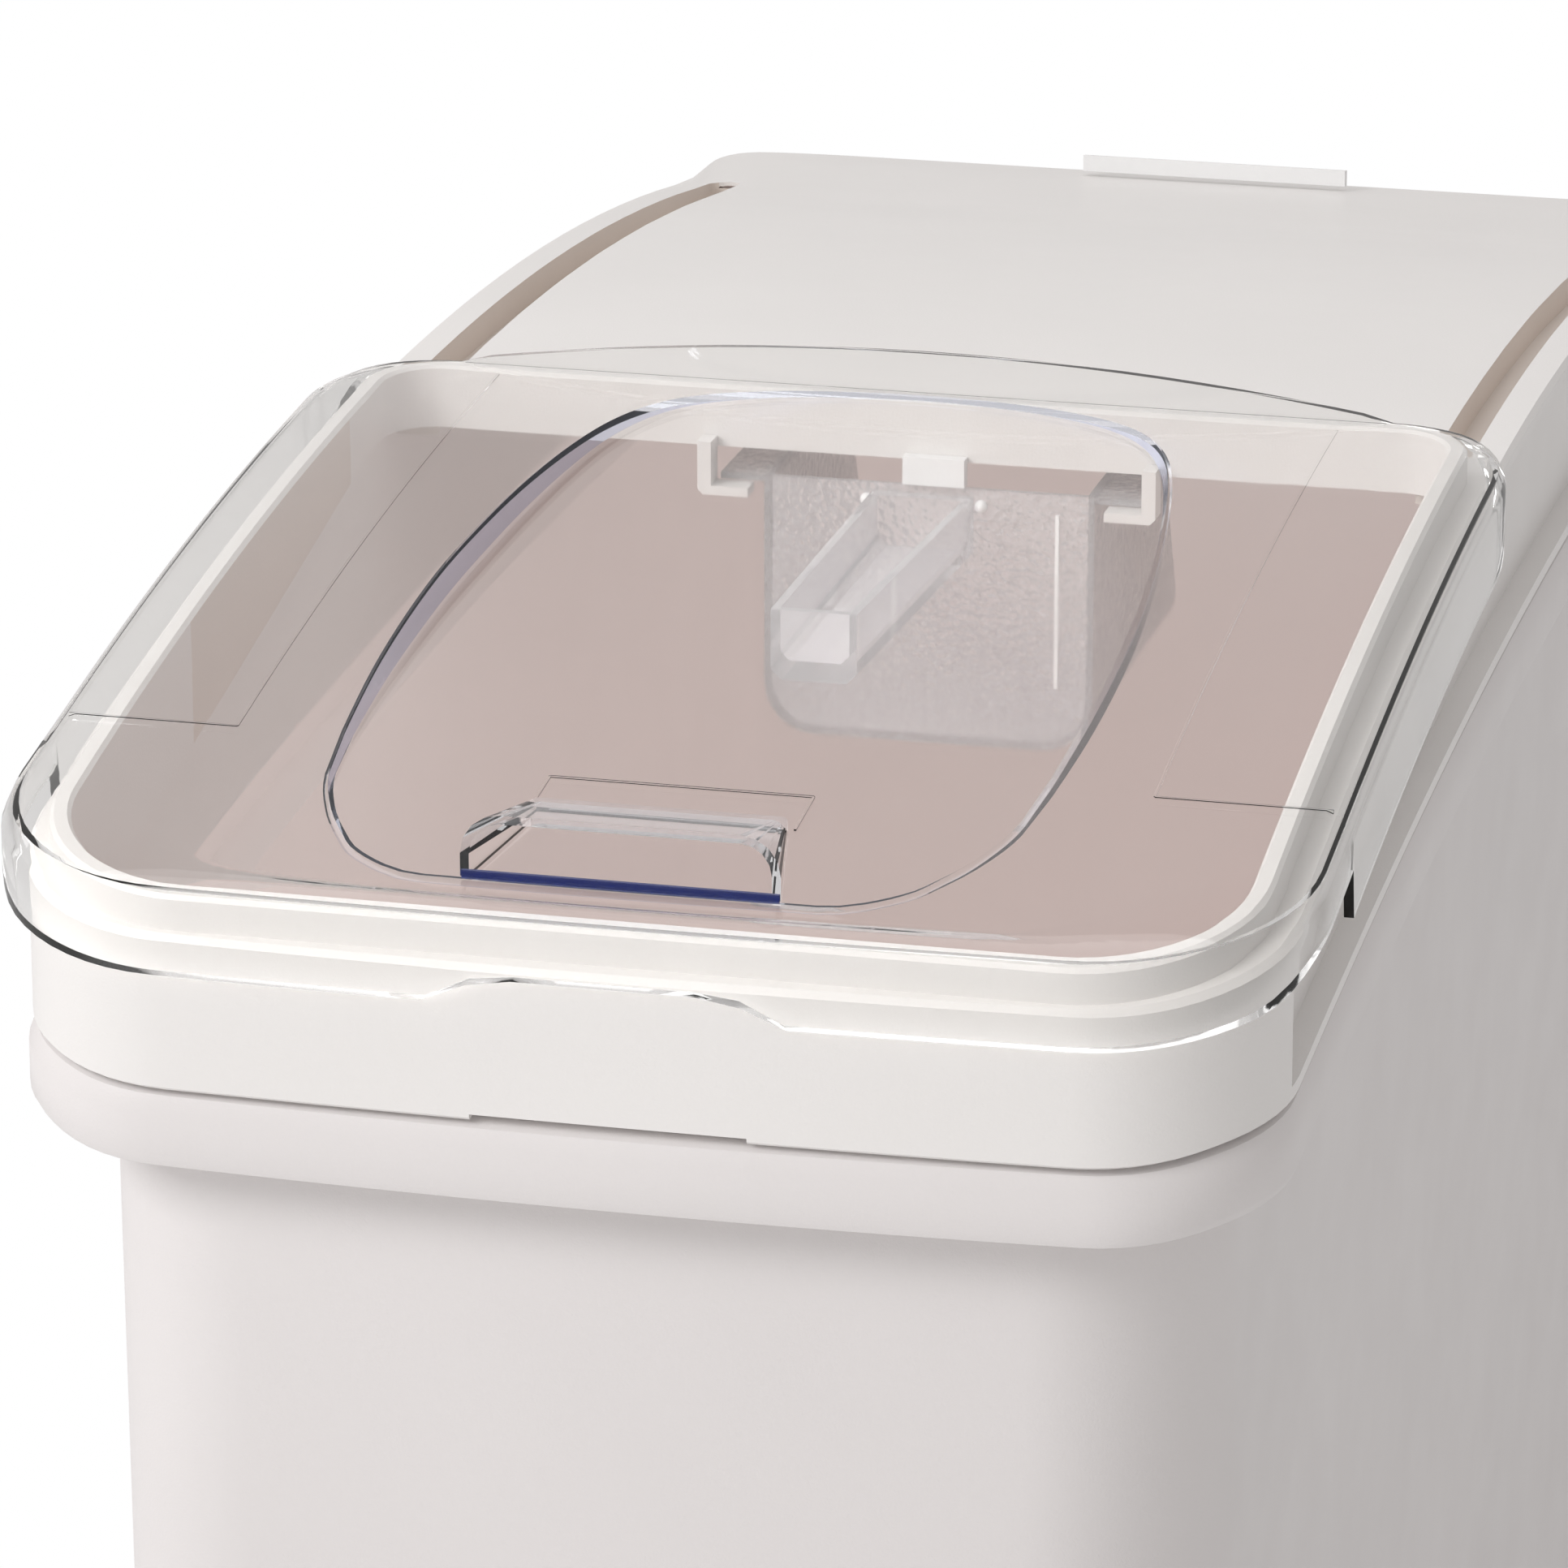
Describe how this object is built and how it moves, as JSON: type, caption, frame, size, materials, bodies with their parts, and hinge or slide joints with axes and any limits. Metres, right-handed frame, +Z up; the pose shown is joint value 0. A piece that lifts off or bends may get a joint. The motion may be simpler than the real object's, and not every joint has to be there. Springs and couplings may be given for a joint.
{
  "type": "wheeled food bin",
  "caption": "Tall slim storage bin for dry pet food on casters, with an arched lid, a clear lift-up front door and a hanging scoop.",
  "frame": {"origin": "middle of the footprint, on the floor", "axes": "-Y is the front with the clear door, +X is to the right of a person facing the front seen from above, +Z is up"},
  "size_m": [0.3276, 0.749, 0.7107],
  "materials": {
    "bin_white": "satin moulded",
    "lid_white": "satin moulded",
    "clear_plastic": "clear polished plastic",
    "scoop_plastic": "clear plastic, lightly frosted",
    "zinc_steel": "zinc plated",
    "bolt_steel": "plated",
    "wheel_plastic": "moulded",
    "tyre_rubber": "matt rubber"
  },
  "bodies": {
    "bin": {"bin_body": "bin_white", "caster_front_left_plate": "zinc_steel", "caster_front_left_race": "zinc_steel", "caster_front_left_kingpin": "bolt_steel", "caster_front_left_bolt_1": "bolt_steel", "caster_front_left_bolt_2": "bolt_steel", "caster_front_left_bolt_3": "bolt_steel", "caster_front_left_bolt_4": "bolt_steel", "caster_rear_left_plate": "zinc_steel", "caster_rear_left_bracket": "zinc_steel", "caster_rear_left_axle": "bolt_steel", "caster_rear_left_nut": "bolt_steel", "caster_rear_left_bolt_1": "bolt_steel", "caster_rear_left_bolt_2": "bolt_steel", "caster_rear_left_bolt_3": "bolt_steel", "caster_rear_left_bolt_4": "bolt_steel", "caster_front_right_plate": "zinc_steel", "caster_front_right_race": "zinc_steel", "caster_front_right_kingpin": "bolt_steel", "caster_front_right_bolt_1": "bolt_steel", "caster_front_right_bolt_2": "bolt_steel", "caster_front_right_bolt_3": "bolt_steel", "caster_front_right_bolt_4": "bolt_steel", "caster_rear_right_plate": "zinc_steel", "caster_rear_right_bracket": "zinc_steel", "caster_rear_right_axle": "bolt_steel", "caster_rear_right_nut": "bolt_steel", "caster_rear_right_bolt_1": "bolt_steel", "caster_rear_right_bolt_2": "bolt_steel", "caster_rear_right_bolt_3": "bolt_steel", "caster_rear_right_bolt_4": "bolt_steel"},
    "lid": {"lid_frame": "lid_white", "rear_stop": "lid_white", "scoop_hook_left": "lid_white", "scoop_hook_right": "lid_white", "scoop_catch": "lid_white"},
    "door": {"clear_door": "clear_plastic"},
    "scoop": {"scoop": "scoop_plastic"},
    "swivel_left": {"caster_front_left_fork": "zinc_steel", "caster_front_left_axle": "bolt_steel", "caster_front_left_nut": "bolt_steel"},
    "wheel_front_left": {"caster_front_left_wheel": "wheel_plastic", "caster_front_left_tyre": "tyre_rubber"},
    "wheel_rear_left": {"caster_rear_left_wheel": "wheel_plastic", "caster_rear_left_tyre": "tyre_rubber"},
    "swivel_right": {"caster_front_right_fork": "zinc_steel", "caster_front_right_axle": "bolt_steel", "caster_front_right_nut": "bolt_steel"},
    "wheel_front_right": {"caster_front_right_wheel": "wheel_plastic", "caster_front_right_tyre": "tyre_rubber"},
    "wheel_rear_right": {"caster_rear_right_wheel": "wheel_plastic", "caster_rear_right_tyre": "tyre_rubber"}
  },
  "joints": [
    {"name": "lid_lift", "type": "slide", "parent": "bin", "child": "lid", "axis": [0, 0, 1], "range_m": [0, 0.3]},
    {"name": "door_hinge", "type": "hinge", "parent": "lid", "child": "door", "pos_m": [0, -0.0445, 0.69762], "axis": [-1, 0, 0], "range_deg": [0, 90]},
    {"name": "scoop_slide", "type": "slide", "parent": "lid", "child": "scoop", "axis": [0, -1, 0], "range_m": [0, 0.12]},
    {"name": "swivel_turn_left", "type": "hinge", "parent": "bin", "child": "swivel_left", "pos_m": [-0.09, -0.245, 0.09], "axis": [0, 0, 1], "continuous": true},
    {"name": "wheel_spin_front_left", "type": "hinge", "parent": "swivel_left", "child": "wheel_front_left", "pos_m": [-0.09, -0.219, 0.038], "axis": [1, 0, 0], "continuous": true},
    {"name": "wheel_spin_rear_left", "type": "hinge", "parent": "bin", "child": "wheel_rear_left", "pos_m": [-0.09, 0.262, 0.038], "axis": [1, 0, 0], "continuous": true},
    {"name": "swivel_turn_right", "type": "hinge", "parent": "bin", "child": "swivel_right", "pos_m": [0.09, -0.245, 0.09], "axis": [0, 0, 1], "continuous": true},
    {"name": "wheel_spin_front_right", "type": "hinge", "parent": "swivel_right", "child": "wheel_front_right", "pos_m": [0.09, -0.219, 0.038], "axis": [1, 0, 0], "continuous": true},
    {"name": "wheel_spin_rear_right", "type": "hinge", "parent": "bin", "child": "wheel_rear_right", "pos_m": [0.09, 0.262, 0.038], "axis": [1, 0, 0], "continuous": true}
  ]
}
